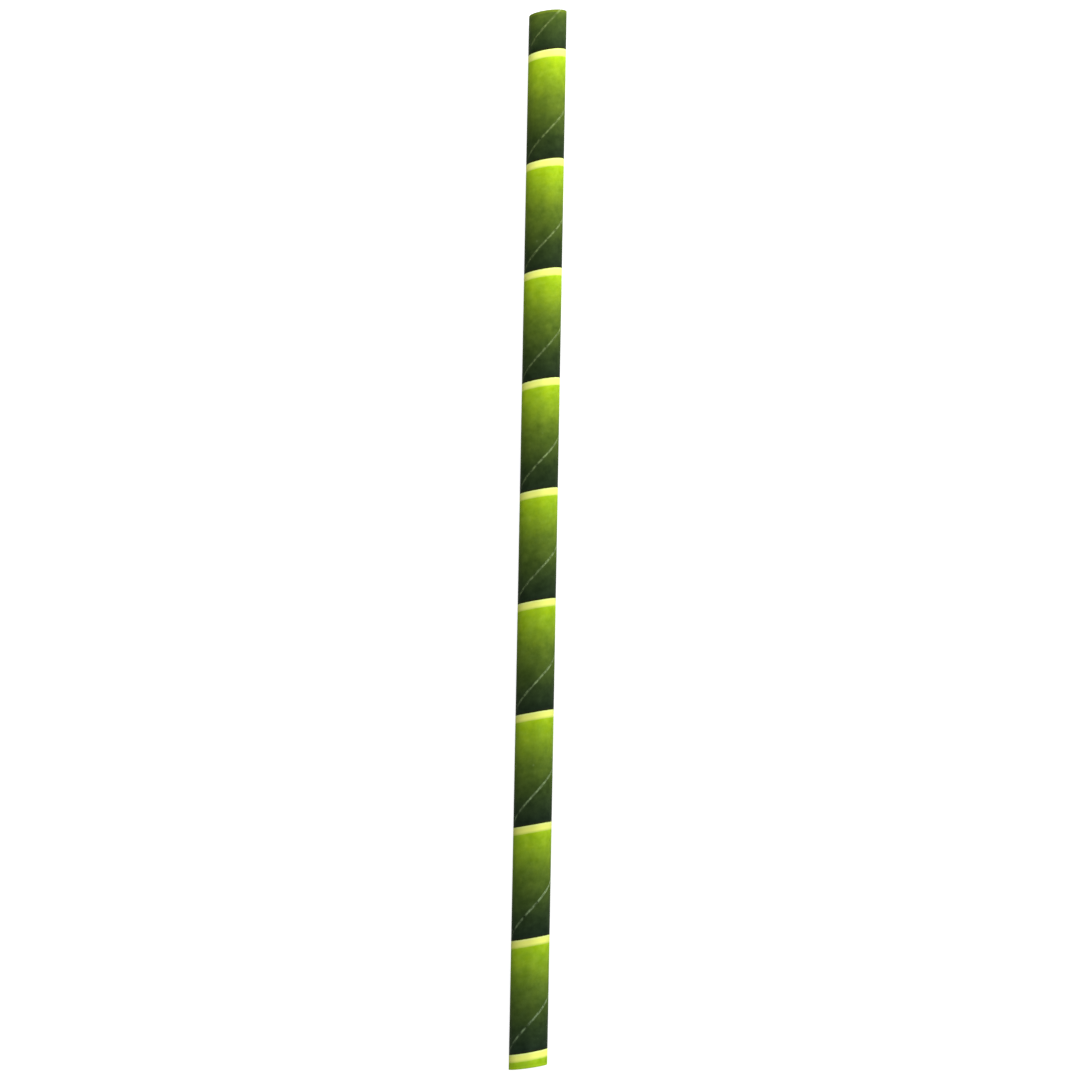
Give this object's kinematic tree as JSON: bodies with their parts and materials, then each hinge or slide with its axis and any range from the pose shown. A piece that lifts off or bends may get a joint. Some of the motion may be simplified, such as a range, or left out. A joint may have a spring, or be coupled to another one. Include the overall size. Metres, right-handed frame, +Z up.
{
  "type": "paper drinking straw",
  "caption": "Straight spiral-wound paper tube with a through bore, open butt seams and slightly slanted cut ends, printed to look like a green cane.",
  "frame": {"origin": "middle of the straw's length, on its lowest line", "axes": "+X along the straw towards the end that is uppermost in the picture, +Z up, with the side that faces the camera on top; the picture's right-hand side faces -Y"},
  "size_m": [0.198, 0.007, 0.0071],
  "materials": {
    "printed_paper": "smooth uncoated-looking printed paper with a soft sheen, plain white inside"
  },
  "bodies": {
    "root": {"straw_tube": "printed_paper"}
  },
  "joints": []
}
